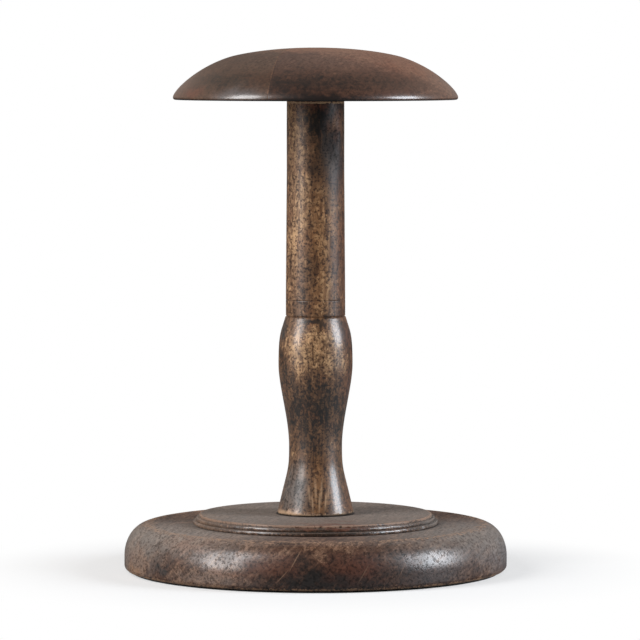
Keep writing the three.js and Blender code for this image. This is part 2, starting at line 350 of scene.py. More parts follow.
def turned(name, outline, sides, waver, rubbed=(), grimy_and_shaded=(), rough=(), crumbled=(), dents=()):
    """A mesh turned about Z, a little out of round, with masks of its rubbed, darkened and rough places;
    the darkened places hold dirt in part and painted shade in part.

    The marks of a crumbled place give the depth of its crumbs as their strength.
    """
    ends_on_axis = outline[0][0] == 0
    ring_points = outline[1:-1] if ends_on_axis else outline[:-1]
    verts = []
    masks = {"rubbed": [], "grime_and_shade": [], "rough": []}
    for radius, height in ring_points:
        crumbling = nearness((radius, height), crumbled)
        for side in range(sides):
            angle = math.tau * side / sides
            around = Vector((math.cos(angle), math.sin(angle), 0))
            point = around * radius + Vector((0, 0, height))
            drift = unevenness(point, WAVES) * waver - waver * WAVES_SUNK
            crumbs = max(0, unevenness(point, CRUMBS)) * crumbling
            inward = min(0, drift) - crumbs - dented(point, angle, dents)
            verts.append(point + around * inward)
        masks["rubbed"] += [nearness((radius, height), rubbed)] * sides
        masks["grime_and_shade"] += [nearness((radius, height), grimy_and_shaded)] * sides
        masks["rough"] += [nearness((radius, height), rough)] * sides
    faces = []
    rings = len(ring_points)
    for ring in range(rings if not ends_on_axis else rings - 1):
        above = (ring + 1) % rings
        for side in range(sides):
            beside = (side + 1) % sides
            faces.append((
                ring * sides + side,
                ring * sides + beside,
                above * sides + beside,
                above * sides + side,
            ))
    if ends_on_axis:
        for ring, end, flip in ((0, outline[0], True), (rings - 1, outline[-1], False)):
            pole = len(verts)
            verts.append(Vector((0, 0, end[1])))
            for values in masks.values():
                values.append(0)
            for side in range(sides):
                pair = (ring * sides + side, ring * sides + (side + 1) % sides)
                faces.append((pole, pair[1], pair[0]) if flip else (pole, pair[0], pair[1]))
    mesh = bpy.data.meshes.new(name)
    mesh.from_pydata(verts, [], faces)
    for mask, values in masks.items():
        mesh.attributes.new(mask, "FLOAT", "POINT").data.foreach_set("value", values)
    mesh.shade_smooth()
    return place(name, mesh)


def place(name, mesh):
    """A new object in the scene that shows a mesh."""
    piece = bpy.data.objects.new(name, mesh)
    bpy.context.scene.collection.objects.link(piece)
    return piece


def finished(piece, nodes, finish):
    """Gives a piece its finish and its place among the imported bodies."""
    piece.data.materials.append(finish)
    weighted = piece.modifiers.new("flat faces stay flat", "WEIGHTED_NORMAL")
    weighted.keep_sharp = True
    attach(piece, "root")
    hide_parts(*nodes)


def sliced(mesh, x, facing=1, halved=False):
    """Cuts the mesh across X. Halved, it keeps only the side that the cut faces: 1 is right, -1 left."""
    everything = mesh.verts[:] + mesh.edges[:] + mesh.faces[:]
    return bmesh.ops.bisect_plane(
        mesh, geom=everything, dist=1e-7, plane_co=(x, 0, 0), plane_no=(facing, 0, 0), clear_inner=halved,
    )


def cap_board(name, whole, side, seam_wear):
    """One board of the cap: the whole cap sawn at the seam, with the seam's edge worn and slightly sunk.

    The side is 1 for the board on the seam's right and -1 for the one on its left.
    """
    mesh = bmesh.new()
    mesh.from_mesh(whole.data)
    mask, wear_width, strength = seam_wear
    wear = mesh.verts.layers.float[mask]
    for distance in (wear_width, SEAM_SUNK_WIDTH, SEAM_SUNK_WIDTH * 0.4):
        sliced(mesh, SEAM_X + side * distance)
    cut = sliced(mesh, SEAM_X, side, halved=True)
    mesh.normal_update()
    for vert in mesh.verts:
        away = abs(vert.co.x - SEAM_X)
        vert[wear] = max(vert[wear], strength * (1 - away / wear_width))
        if away < SEAM_SUNK_WIDTH:
            inward = -Vector((0, vert.normal.y, vert.normal.z)).normalized()
            vert.co += inward * SEAM_SUNK_DEPTH * (1 - away / SEAM_SUNK_WIDTH) ** 2
    edges = [item for item in cut["geom_cut"] if isinstance(item, bmesh.types.BMEdge)]
    bmesh.ops.contextual_create(mesh, geom=edges)
    board = bpy.data.meshes.new(name)
    mesh.to_mesh(board)
    mesh.free()
    for polygon in board.polygons:
        is_sawn = abs(polygon.normal.x) > 0.999
        polygon.use_smooth = not is_sawn
    return place(name, board)


def thread(mesh, outline, core):
    """Adds a stretch of a screw: the outline gives its crests, and the core the share left below them."""
    rows = []
    for radius, height in filled(outline, THREAD_PITCH / 6):
        row = []
        for side in range(THREAD_SIDES):
            turn = side / THREAD_SIDES
            from_crest = abs((height / THREAD_PITCH - turn) % 1 - 0.5)
            crest = max(0, 1 - from_crest * THREAD_STEEPNESS)
            ridge = radius * (core + (1 - core) * crest)
            angle = math.tau * turn
            row.append(mesh.verts.new((ridge * math.cos(angle), ridge * math.sin(angle), height)))
        rows.append(row)
    for low, high in zip(rows, rows[1:]):
        for side in range(THREAD_SIDES):
            beside = (side + 1) % THREAD_SIDES
            mesh.faces.new((low[side], low[beside], high[beside], high[side]))
    mesh.faces.new(reversed(rows[0]))
    mesh.faces.new(rows[-1])


# Shader maths

class Value:
    """A shader socket that Python arithmetic works on: an expression adds its Math nodes."""

    def __init__(self, shading, socket):
        self.shading = shading
        self.socket = socket

    def math(self, operation, first, second, clamped=False):
        settings = {"operation": operation, "use_clamp": clamped}
        return self.shading.node("ShaderNodeMath", settings, {0: first, 1: second})

    def __add__(self, other):
        return self.math("ADD", self, other)

    __radd__ = __add__

    def __sub__(self, other):
        return self.math("SUBTRACT", self, other)

    def __rsub__(self, other):
        return self.math("SUBTRACT", other, self)

    def __mul__(self, other):
        return self.math("MULTIPLY", self, other)

    __rmul__ = __mul__

    def clamp(self):
        return self.math("ADD", self, 0, clamped=True)

    def between(self, low, high, start=0, end=1):
        """One value at low and below, another at high and above, with a soft step between them."""
        sockets = {0: self, 1: low, 2: high, 3: start, 4: end}
        return self.shading.node("ShaderNodeMapRange", {"interpolation_type": "SMOOTHSTEP"}, sockets)


class Shading:
    """A node tree under construction."""

    def __init__(self, tree):
        self.tree = tree
        tree.nodes.clear()

    def node(self, kind, settings=None, sockets=None, output=0):
        """Adds a node: its settings go in first, then the values or links of its sockets."""
        added = self.tree.nodes.new(kind)
        for name, setting in (settings or {}).items():
            setattr(added, name, setting)
        for socket, value in (sockets or {}).items():
            if isinstance(value, Value):
                self.tree.links.new(value.socket, added.inputs[socket])
            else:
                added.inputs[socket].default_value = value
        return Value(self, added.outputs[output]) if added.outputs else None

    def position(self):
        """The place on the stand, in millimetres."""
        here = self.node("ShaderNodeTexCoord", output="Object")
        return self.scaled(here, (1000, 1000, 1000))

    def scaled(self, vector, factors):
        return self.node("ShaderNodeVectorMath", {"operation": "MULTIPLY"}, {0: vector, 1: factors})

    def moved(self, vector, offset):
        return self.node("ShaderNodeVectorMath", {"operation": "ADD"}, {0: vector, 1: offset})

    def placed(self, vector, origin, turns, sizes=(1, 1, 1)):
        """The vector as seen from a frame with its own origin, turns and unit sizes."""
        sockets = {"Vector": vector, "Location": origin, "Rotation": turns, "Scale": sizes}
        return self.node("ShaderNodeMapping", {"vector_type": "TEXTURE"}, sockets)

    def length(self, vector):
        return self.node("ShaderNodeVectorMath", {"operation": "LENGTH"}, {0: vector}, output="Value")

    def along(self, vector, direction):
        settings = {"operation": "DOT_PRODUCT"}
        return self.node("ShaderNodeVectorMath", settings, {0: vector, 1: direction}, output="Value")

    def level(self):
        """1 where the surface lies level and faces up, and 0 where it is upright."""
        return self.along(self.node("ShaderNodeTexCoord", output="Normal"), (0, 0, 1))

    def ringwise(self, here):
        """The place with its way round the axis drawn together, so that a noise runs in rings."""
        out = self.length(self.scaled(here, (1, 1, 0)))
        outline = self.node("ShaderNodeCombineXYZ", None, {"Z": out - self.along(here, (0, 0, 1))})
        return self.moved(self.scaled(here, (0.12, 0.12, 0)), outline)

    def noise(self, vector, scale, detail=2, roughness=0.5, swirl=0):
        sockets = {"Vector": vector, "Scale": scale, "Detail": detail}
        sockets |= {"Roughness": roughness, "Distortion": swirl}
        return self.node("ShaderNodeTexNoise", None, sockets)

    def frayed(self, here, reach):
        """The place moved about by a noise, so that a patch has an uneven edge."""
        sockets = {"Vector": here, "Scale": 0.16, "Detail": 3}
        drift = self.node("ShaderNodeTexNoise", None, sockets, output="Color")
        centred = self.moved(drift, (-0.5, -0.5, -0.5))
        return self.moved(here, self.scaled(centred, (reach, reach, reach)))

    def mask(self, name):
        return self.node("ShaderNodeAttribute", {"attribute_name": name}, output="Fac")

    def blend(self, factor, first, second, kind="MIX"):
        settings = {"data_type": "RGBA", "blend_type": kind}
        return self.node("ShaderNodeMix", settings, {0: factor, 6: first, 7: second}, output=2)

    def light_path(self, ray):
        return self.node("ShaderNodeLightPath", output=ray)


def colour(red, green, blue):
    """A colour as it shows on a screen, from 0 to 255, made linear."""
    def linear(level):
        share = level / 255
        return share / 12.92 if share <= 0.04045 else ((share + 0.055) / 1.055) ** 2.4
    return (linear(red), linear(green), linear(blue), 1)


# Finishes

def new_finish(name):
    """A new material and its empty node tree."""
    material = bpy.data.materials.new(name)
    material.use_nodes = True
    return material, Shading(material.node_tree)


def patch(shading, here, where, size, strength, lean=0):
    """A soft oval patch, of some strength in its middle and 0 outside.

    It lies at a turn in degrees from the front, a distance from the axis and a height. Its sizes are its
    half-width and half-height, and it leans over by some degrees.
    """
    turn, out, height = where
    angle = FRONT + math.radians(turn)
    centre = (out * math.cos(angle), out * math.sin(angle), height)
    turns = (0, math.radians(lean), angle + math.pi / 2)
    oval = shading.placed(here, centre, turns, (size[0], max(size), size[1]))
    return shading.length(oval).between(0.1, 1, strength, 0)


def stained_wood(name, grain, seed, tones, look, marks):
    """Stained and waxed hardwood, rubbed pale at its edges.

    The grain turns the board's own axes, which run across its growth rings, round them and along its
    fibres. The look tells how strong each pattern of the wood and each trait of its polish is. Level tops
    get a grey film of dirt that also paints the sheen they would mirror. The marks are stain patches,
    some of them painted shade and painted light, which make it lighter or darker, blushes of another
    colour, the grey ones painted sheen and reflections, scratches, and places with more or less wax.
    Edges, grooves and joints are darkened: dirt in part, painted shade in part.
    """
    dark, middle, light, worn = tones
    material, wood = new_finish(name)
    here = wood.position()
    board = wood.placed(here, (seed * 37.0, seed * 71.0, seed * 53.0), grain)
    short = wood.scaled(board, (1, 1, 0.6))

    stretched = wood.scaled(board, (1, 0.16, 0.05))
    rings = wood.noise(stretched, scale=0.55, detail=3, roughness=0.65, swirl=0.3)
    blotches = wood.noise(short, scale=0.2)
    flecks = wood.noise(short, scale=0.6, detail=3, roughness=0.7, swirl=0.7)
    lathe_lines = wood.noise(wood.ringwise(here), scale=0.9, detail=3, roughness=0.65)
    specks = wood.noise(wood.scaled(board, (0.9, 0.9, 1)), scale=0.8, roughness=0.6, swirl=0.2)
    specks = specks.between(0.5, 0.62)
    hairs = wood.noise(wood.scaled(board, (1, 1, 0.09)), scale=1.2).between(0.48, 0.62)
    streaks = wood.noise(wood.scaled(board, (1, 1, 0.2)), scale=0.5, roughness=0.6, swirl=0.5)
    streaks = streaks.between(0.53, 0.64)
    grit = (wood.noise(here, scale=0.9, roughness=0.6) - 0.5) * wood.mask("rough")
    clouds = wood.noise(board, scale=0.05, detail=3)
    redness = wood.noise(board, scale=0.11, detail=3, roughness=0.6)
    # Level tops: a grey film of dirt that also paints the sheen they would mirror, and a duller polish.
    dust_and_sheen = wood.level().between(*DUST_AND_SHEEN_SLOPES)
    frayed = wood.frayed(here, look["frayed"])

    depth = 0.5 + (rings - 0.5) * look["ringed"] + (blotches - 0.5) * look["blotched"]
    depth = depth + (flecks - 0.5) * look["mottled"] + (lathe_lines - 0.5) * look["lined"]
    depth = depth + (clouds - 0.5) * look["clouded"] + grit * 4 + dust_and_sheen * look["faded_and_sheen"]
    # Stain patches, some of them painted shade and painted light, make the wood lighter or darker.
    for turn, out, height, across, tall, strength in marks["stains_and_shading"]:
        depth = depth + patch(wood, frayed, (turn, out, height), (across, tall), strength)
    body = wood.blend(depth.between(-0.15, 0.55), dark, middle)
    body = wood.blend(depth.between(0.45, 1.15), body, light)
    body = wood.blend(redness.between(0.5, 0.75) * 0.6, body, REDDENING, "MULTIPLY")
    # The grey of level tops: dirt, and painted sheen.
    body = wood.blend(dust_and_sheen * look["dusty_sheen"] * (flecks + 0.5), body, DUST_SHEEN_GREY)
    # Blushes of another colour; the grey ones paint sheen and reflections.
    for turn, out, height, across, tall, tint, strength in marks["blushes"]:
        blush = patch(wood, frayed, (turn, out, height), (across, tall), strength) * (0.4 + flecks)
        body = wood.blend(blush, body, tint)
    body = wood.blend(specks * look["speckled"], body, SPECK_SHADE, "MULTIPLY")
    body = wood.blend(streaks * look["streaked"], body, STREAK_SHADE, "MULTIPLY")
    bare = depth.between(0.45, 0.95)
    body = wood.blend(hairs * bare * look["haired"], body, HAIR_SHADE, "MULTIPLY")
    rubbed = (wood.mask("rubbed") * (0.6 + (flecks - 0.5) * 2.5)).between(0.25, 0.7)
    body = wood.blend(rubbed * 0.8, body, worn)
    for turn, out, height, reach, width, lean, strength in marks["scratches"]:
        scratch = patch(wood, here, (turn, out, height), (reach, width), strength, lean)
        body = wood.blend(scratch * (flecks + 0.3), body, worn)
    # Darkening along edges, grooves and joints: dirt in part, and painted shade under edges and in
    # grooves.
    grime_and_shade = wood.mask("grime_and_shade") * (0.75 + (clouds - 0.5) * 2 + (flecks - 0.5) * 1.5)
    filth_and_shade = grime_and_shade.between(0.1, 0.9)
    body = wood.blend(filth_and_shade * 0.9, body, SOOT_AND_SHADE)

    height = flecks * 0.8 - specks * 0.25 - hairs * bare * 0.3 + grit * 8
    sockets = {"Strength": look["relief"], "Distance": 0.2 * MM, "Height": height}
    bumps = wood.node("ShaderNodeBump", None, sockets)
    wax = 1 - specks * look["pitted"] - filth_and_shade - rubbed
    for turn, out, height, across, tall, strength in marks["waxed"]:
        wax = wax + patch(wood, frayed, (turn, out, height), (across, tall), strength)
    dullness = (0 - wax).between(0.8, 1.8)
    roughness = look["roughness"] + (flecks - 0.5) * look["relief"]
    surface = wood.node("ShaderNodeBsdfPrincipled", None, {
        "Base Color": body,
        "Roughness": roughness + filth_and_shade * 0.3 + rubbed * 0.15 + dullness * 0.4 + dust_and_sheen * 0.42,
        "Specular IOR Level": 0.5,
        "Coat Weight": (look["coat"] * wax * (1 - dust_and_sheen)).clamp(),
        "Coat Roughness": look["coat_roughness"],
        "Coat IOR": look["coat_ior"],
        "Normal": bumps,
    })
    wood.node("ShaderNodeOutputMaterial", None, {"Surface": surface})
    return material


def dull_steel():
    material, steel = new_finish("dull_steel")
    here = steel.position()
    stain = steel.noise(here, scale=0.5, detail=4, roughness=0.6)
    surface = steel.node("ShaderNodeBsdfPrincipled", None, {
        "Base Color": steel.blend(stain.between(0.35, 0.7), PLAIN_STEEL, STAINED_STEEL),
        "Roughness": 0.3 + stain * 0.3,
        "Metallic": 1.0,
    })
    steel.node("ShaderNodeOutputMaterial", None, {"Surface": surface})
    return material


def dark_felt():
    material, felt = new_finish("dark_felt")
    here = felt.position()
    fibres = felt.noise(here, scale=0.9, detail=3, roughness=0.6, swirl=0.4)
    worn = felt.noise(here, scale=0.05, detail=3)
    tone = fibres * 0.7 + worn * 0.3
    bumps = felt.node("ShaderNodeBump", None, {"Strength": 0.7, "Distance": 0.3 * MM, "Height": fibres})
    surface = felt.node("ShaderNodeBsdfPrincipled", None, {
        "Base Color": felt.blend(tone.between(0.3, 0.7), DARK_FELT, PALE_FELT),
        "Roughness": 0.95,
        "Sheen Weight": 0.2,
        "Normal": bumps,
    })
    felt.node("ShaderNodeOutputMaterial", None, {"Surface": surface})
    return material


WIDE_BOARD_TONES = (colour(32, 22, 18), colour(89, 59, 44), colour(148, 106, 82), colour(134, 96, 74))
NARROW_BOARD_TONES = (colour(36, 27, 20), colour(87, 62, 46), colour(142, 106, 82), colour(132, 96, 74))
STEM_TONES = (colour(28, 20, 13), colour(119, 84, 55), colour(214, 171, 124), colour(204, 168, 132))
STEP_TONES = (colour(34, 24, 19), colour(82, 60, 47), colour(142, 112, 92), colour(156, 126, 106))
BASE_TONES = (colour(28, 20, 16), colour(82, 54, 39), colour(156, 120, 95), colour(174, 138, 110))
# A grey for level tops: dirt, and painted sheen.
DUST_SHEEN_GREY = colour(150, 143, 136)
DUST_AND_SHEEN_SLOPES = (0.78, 0.97)
# Grey tints, most of them used as painted sheen and painted reflections.
GREY = colour(120, 115, 111)
COOL_GREY = colour(106, 107, 110)
SLATE = colour(62, 60, 62)
DARK_SLATE = colour(30, 30, 32)
RED_BROWN = colour(112, 62, 42)
TAN = colour(164, 124, 92)
GOLD_BROWN = colour(142, 98, 58)
PINK = colour(196, 164, 142)
# Near-black for darkened edges, grooves and joints: dirt, and painted shade.
SOOT_AND_SHADE = colour(16, 13, 12)
REDDENING = (1, 0.8, 0.72, 1)
SPECK_SHADE = (0.24, 0.2, 0.18, 1)
STREAK_SHADE = (0.34, 0.28, 0.24, 1)
HAIR_SHADE = (0.3, 0.26, 0.24, 1)
PLAIN_STEEL = colour(150, 148, 142)
STAINED_STEEL = colour(96, 86, 74)
DARK_FELT = colour(20, 21, 19)
PALE_FELT = colour(48, 48, 43)

CAP_LOOK = {
    "ringed": 0.3, "blotched": 0.25, "mottled": 1.0, "lined": 0.35, "clouded": 0.35, "speckled": 0.35,
    "streaked": 0.0, "haired": 0.15, "frayed": 7, "relief": 0.07, "roughness": 0.42, "coat": 0.7,
    "coat_roughness": 0.23, "coat_ior": 1.6, "pitted": 0.1, "dusty_sheen": 0.12, "faded_and_sheen": 0.0,
}
STEM_LOOK = {
    "ringed": 0.6, "blotched": 0.7, "mottled": 1.8, "lined": 0.2, "clouded": 0.7, "speckled": 0.95,
    "streaked": 0.8, "haired": 0.25, "frayed": 12, "relief": 0.16, "roughness": 0.46, "coat": 0.28,
    "coat_roughness": 0.22, "coat_ior": 1.8, "pitted": 0.3, "dusty_sheen": 0.0, "faded_and_sheen": 0.0,
}
STEP_LOOK = {
    "ringed": 0.6, "blotched": 0.5, "mottled": 1.5, "lined": 0.4, "clouded": 0.8, "speckled": 0.5,
    "streaked": 0.1, "haired": 0.3, "frayed": 8, "relief": 0.25, "roughness": 0.4, "coat": 0.4,
    "coat_roughness": 0.2, "coat_ior": 1.6, "pitted": 0.6, "dusty_sheen": 0.45, "faded_and_sheen": 0.25,
}
BASE_LOOK = {
    "ringed": 1.2, "blotched": 0.8, "mottled": 1.5, "lined": 0.3, "clouded": 0.7, "speckled": 0.7,
    "streaked": 0.15, "haired": 0.4, "frayed": 14, "relief": 0.35, "roughness": 0.42, "coat": 0.65,
    "coat_roughness": 0.26, "coat_ior": 1.6, "pitted": 0.9, "dusty_sheen": 0.08, "faded_and_sheen": 0.08,
}

# The marks on each piece. A mark starts with its place: a turn in degrees from the front, a distance
# from the axis and a height, in millimetres. Then a stain patch (some are painted shade and painted
# light) or a waxed place has a half-width, a half-height and a strength, and a blush has its tint
# before its strength. A scratch has half its length, half its width, its lean in degrees and its
# strength.

WIDE_BOARD_MARKS = {
    "stains_and_shading": [
        # Painted shade: the darker bands round the dome's front and along its lower edge. Painted light:
        # the lighter crown.
        (-5, 50, 239, 64, 20, -0.2),
        (-12, 34, 244, 14, 12, -0.25),
        (0, 0, 234, 300, 7, -0.2),
        (-5, 50, 230, 50, 7, -0.2),
        (2, 68, 225.6, 38, 4.5, -0.6),
        (0, 0, 251, 90, 5, 0.5),
        (58, 36, 246, 72, 14, 0.55),
        (70, 62, 236, 34, 16, 0.5),
    ],
    "blushes": [(60, 50, 242, 44, 14, RED_BROWN, 0.35), (90, 64, 230, 30, 10, RED_BROWN, 0.3)],
    "scratches": [
        (9, 56, 237.5, 1.6, 1.2, 0, 1.2),
        (-8, 60, 234, 1.6, 1.2, 0, 1.2),
        (19, 60, 234, 1.8, 1.2, 20, 1.2),
        (57, 45, 243.7, 1.6, 1.2, 0, 1.2),
        (29, 44, 244, 1.4, 1.2, 0, 1.2),
        (69, 56, 237.5, 1.6, 1.2, 0, 1.2),
    ],
    "waxed": [
        (0, 0, 240, 300, 11, -0.5),
        (2, 68, 227, 44, 6, -0.9),
        (38, 67, 227.5, 22, 5, 0.25),
    ],
}
NARROW_BOARD_MARKS = {
    "stains_and_shading": [
        # Painted shade: the darker bands round the dome's front and along its lower edge. Painted light:
        # the lighter crown.
        (-40, 50, 240, 50, 16, -0.12),
        (-45, 62, 234, 30, 6, -0.2),
        (0, 0, 234.5, 300, 6, -0.1),
        (-14, 50, 238, 7, 26, 0.3),
        (-10, 68, 225.6, 20, 4, -0.4),
        (0, 0, 251, 90, 5, 0.5),
        (-90, 62, 232, 30, 14, 0.25),
    ],
    "blushes": [
        (-60, 65, 229, 14, 4, RED_BROWN, 0.6),
        (-85, 64, 230, 30, 10, RED_BROWN, 0.3),
        # A cool grey tint that paints the left lamp's highlight whiter.
        (-32, 67, 228, 20, 5, COOL_GREY, 0.5),
    ],
    "scratches": [],
    "waxed": [
        (0, 0, 240, 300, 11, -0.5),
        (-12, 68, 227, 24, 7, -0.9),
        (-32, 66, 230, 16, 8, 0.9),
    ],
}
STEM_MARKS = {
    "stains_and_shading": [
        (6, 14, 216, 11, 11, -0.55),
        (48, 14, 211, 7, 9, 0.65),
        (52, 14, 221, 16, 6, -0.4),
        (34, 14, 200, 11, 20, -0.6),
        (-50, 14, 216, 9, 24, 0.2),
        (-45, 14, 196, 12, 24, 0.15),
        (-40, 14, 174, 16, 26, 0.2),
        (0, 14, 180, 16, 30, 0.1),
        (8, 14, 190, 6, 8, -0.4),
        (-3, 14, 201, 6, 14, -0.25),
        (10, 14, 176, 14, 18, 0.15),
        (-30, 14, 150, 10, 40, 0.15),
        (-12, 14, 152, 6, 40, -0.4),
        (12, 14, 142, 8, 24, 0.25),
        (-25, 14, 178, 6, 34, 0.2),
        (62, 14, 174, 10, 120, -0.25),
        (2, 14, 120.3, 9, 3, -0.9),
        (0, 17, 112, 26, 10, 0.3),
        # A lighter patch that paints the left lamp's highlight on down the belly.
        (-27, 17, 103, 9, 16, 0.4),
        (-55, 17, 98, 9, 12, -0.4),
        (30, 17, 104, 16, 14, 0.1),
        (0, 17, 96, 16, 5, -0.15),
        (70, 17, 112, 14, 14, -0.3),
        (-75, 17, 116, 8, 8, -0.5),
        # A darker band round the lower vase: the wood's own darker part, and painted shade.
        (0, 0, 76, 60, 26, -0.32),
        (12, 17, 84, 10, 16, -0.2),
        (2, 15, 40, 8, 22, 0.2),
        (-55, 16, 42, 13, 20, -0.3),
        (62, 16, 42, 10, 18, -0.3),
        (4, 16, 38, 14, 24, -0.35),
        (-50, 18, 29, 14, 2, 0.5),
    ],
    "blushes": [
        (-10, 14, 222.5, 26, 4, RED_BROWN, 0.6),
        (48, 14, 213, 8, 12, RED_BROWN, 0.6),
        (38, 14, 194, 15, 26, DARK_SLATE, 1),
        (26, 14, 216, 7, 14, DARK_SLATE, 0.4),
        (66, 14, 150, 12, 90, RED_BROWN, 0.35),
        # A pale pink tint that paints the left lamp's sheen down the column.
        (-46, 14, 168, 12, 120, PINK, 0.12),
        (70, 17, 112, 14, 14, RED_BROWN, 0.3),
        (-75, 17, 116, 8, 10, SLATE, 0.4),
        (80, 17, 90, 14, 16, RED_BROWN, 0.4),
        (80, 17, 36, 14, 14, RED_BROWN, 0.4),
        # A grey tint that paints the broad sheen on the foot's left.
        (-48, 16, 40, 16, 20, GREY, 0.7),
        (4, 16, 42, 12, 24, GOLD_BROWN, 0.5),
        (12, 14, 160, 12, 60, GOLD_BROWN, 0.5),
        (-50, 18, 28.6, 18, 3, PINK, 1),
    ],
    "scratches": [
        (-11, 16, 38, 6, 0.9, 82, 0.5),
        (-5, 16, 34, 7, 0.7, 85, 0.6),
        (0, 16, 40, 9, 1, 87, 0.5),
        (6, 16, 34, 8, 0.6, 92, 0.6),
        (10, 16, 39, 10, 0.9, 96, 0.5),
        (17, 16, 35, 7, 0.8, 98, 0.6),
        (23, 16, 39, 8, 0.7, 101, 0.4),
        (-62, 17.8, 28.6, 12, 1.8, 0, 0.8),
        (-36, 17.8, 28.4, 7, 1.6, 0, 0.7),
    ],
    "waxed": [
        (0, 0, 70, 300, 54, 1.4),
        (40, 15, 114, 10, 12, 0.8),
        (42, 17, 34, 10, 14, 0.35),
        (-45, 17, 46, 12, 22, -1),
        (-38, 17, 38, 10, 26, -0.6),
        (34, 14, 178, 14, 100, -0.9),
        (40, 14, 196, 18, 36, -1),
        (-24, 14, 178, 9, 56, -0.5),
        (40, 16, 50, 9, 12, -0.9),
        (0, 14, 216, 60, 30, -1),
    ],
}
STEP_MARKS = {
    "stains_and_shading": [
        (6, 57, 24, 34, 3, -0.45),
        (0, 45, 27.3, 40, 8, -0.25),
        (-75, 58, 25, 30, 5, 0.3),
        (78, 58, 25, 26, 5, 0.3),
        (-60, 58, 25.5, 14, 4, -0.3),
        (66, 58, 24.5, 5, 2.4, -0.6),
        (76, 58, 25.5, 5, 2.4, 0.5),
    ],
    "blushes": [
        # Grey tints on the top and at the ends paint sheen: the room and the lamps mirrored at a low
        # angle.
        (0, 0, 28, 90, 4, GREY, 0.2),
        (5, 45, 27.3, 44, 8, GOLD_BROWN, 0.14),
        (-75, 40, 27.3, 60, 12, DUST_SHEEN_GREY, 0.3),
        (80, 40, 27.3, 60, 12, DUST_SHEEN_GREY, 0.15),
        (8, 57, 26.2, 34, 1.6, RED_BROWN, 0.7),
        (-70, 58, 24.5, 30, 4, TAN, 0.3),
        (78, 58, 24.5, 26, 4, GREY, 0.7),
    ],
    "scratches": [],
    "waxed": [(0, 0, 24.5, 300, 3, 1.5)],
}
BASE_MARKS = {
    "stains_and_shading": [
        # Painted shade: the darker front of the rim's lower part. Painted reflection: the lighter ends of
        # the rim. Painted highlight: the lighter patches that widen the left lamp's highlight.
        (2, 91, 3, 62, 9, -0.5),
        (26, 87, 16, 12, 5, -0.35),
        (-75, 90, 10, 40, 14, 0.6),
        (-66, 91, 7, 20, 8, 0.7),
        (-52, 91, 6, 8, 5, -0.5),
        (-44, 86, 19.5, 16, 6, 0.5),
        (-32, 91, 5, 38, 12, 0.4),
        (-40, 84, 21, 34, 6, 0.4),
        (75, 90, 12, 45, 14, 0.5),
        (0, 86, 19.5, 34, 5, 0.15),
        (7, 90, 11, 40, 12, -0.35),
        (-70, 84, 22, 60, 5, 0.3),
    ],
    "blushes": [
        # Painted reflection: the grey tints at the rim's ends and beside its left highlight. Painted
        # sheen: the grey tints on the land's sides.
        (80, 90, 12, 60, 16, COOL_GREY, 0.9),
        (-85, 90, 12, 50, 16, GREY, 0.65),
        (-34, 90, 5, 34, 10, GREY, 0.4),
        (-60, 91, 10, 26, 14, GREY, 0.35),
        (38, 91, 6, 30, 12, SLATE, 0.6),
        (-60, 76, 22.5, 80, 14, DUST_SHEEN_GREY, 0.8),
        (62, 76, 22.5, 80, 14, DUST_SHEEN_GREY, 0.65),
        (12, 90, 11, 22, 9, RED_BROWN, 0.6),
        (-14, 90, 12, 20, 9, RED_BROWN, 0.5),
        (-42, 86, 19, 26, 4, RED_BROWN, 0.3),
        (-70, 92, 3, 18, 5, TAN, 0.5),
    ],
    "scratches": [
        (-6, 90, 15, 9, 0.4, -62, 0.5),
        (-9.5, 91, 8, 6, 0.35, -48, 0.45),
        (-30, 90, 15, 9, 0.4, -65, 0.35),
        (-45, 91, 6, 8, 0.4, 40, 0.4),
        (14, 91, 9, 7, 0.5, -58, 0.3),
        (26, 91, 10, 6, 0.5, -58, 0.25),
    ],
    "waxed": [
        (22, 87, 18, 16, 10, -0.9),
        (32, 89, 18.5, 14, 6, -0.6),
        (-42, 91, 10, 18, 8, -1),
        (-42, 85, 20, 18, 7, 1.1),
        (-27, 90, 16, 9, 6, -0.5),
        (-26, 91, 9.5, 12, 6, 0.6),
        (-20, 91, 7, 18, 9, 0.4),
    ],
}

cap_grain = (math.pi / 2, 0.5, 0)
stem_grain = (0, 0, 0.6)
base_grain = (math.pi / 2, math.radians(45), 0)
wide_board_wood = stained_wood(
    "wide_board_wood", cap_grain, 1, WIDE_BOARD_TONES, CAP_LOOK, WIDE_BOARD_MARKS,
)
narrow_board_wood = stained_wood(
    "narrow_board_wood", cap_grain, 4, NARROW_BOARD_TONES, CAP_LOOK, NARROW_BOARD_MARKS,
)
stem_wood = stained_wood("stem_wood", stem_grain, 2, STEM_TONES, STEM_LOOK, STEM_MARKS)
step_wood = stained_wood("step_wood", base_grain, 6, STEP_TONES, STEP_LOOK, STEP_MARKS)
base_wood = stained_wood("base_wood", base_grain, 3, BASE_TONES, BASE_LOOK, BASE_MARKS)
steel = dull_steel()
felt = dark_felt()


# Pieces

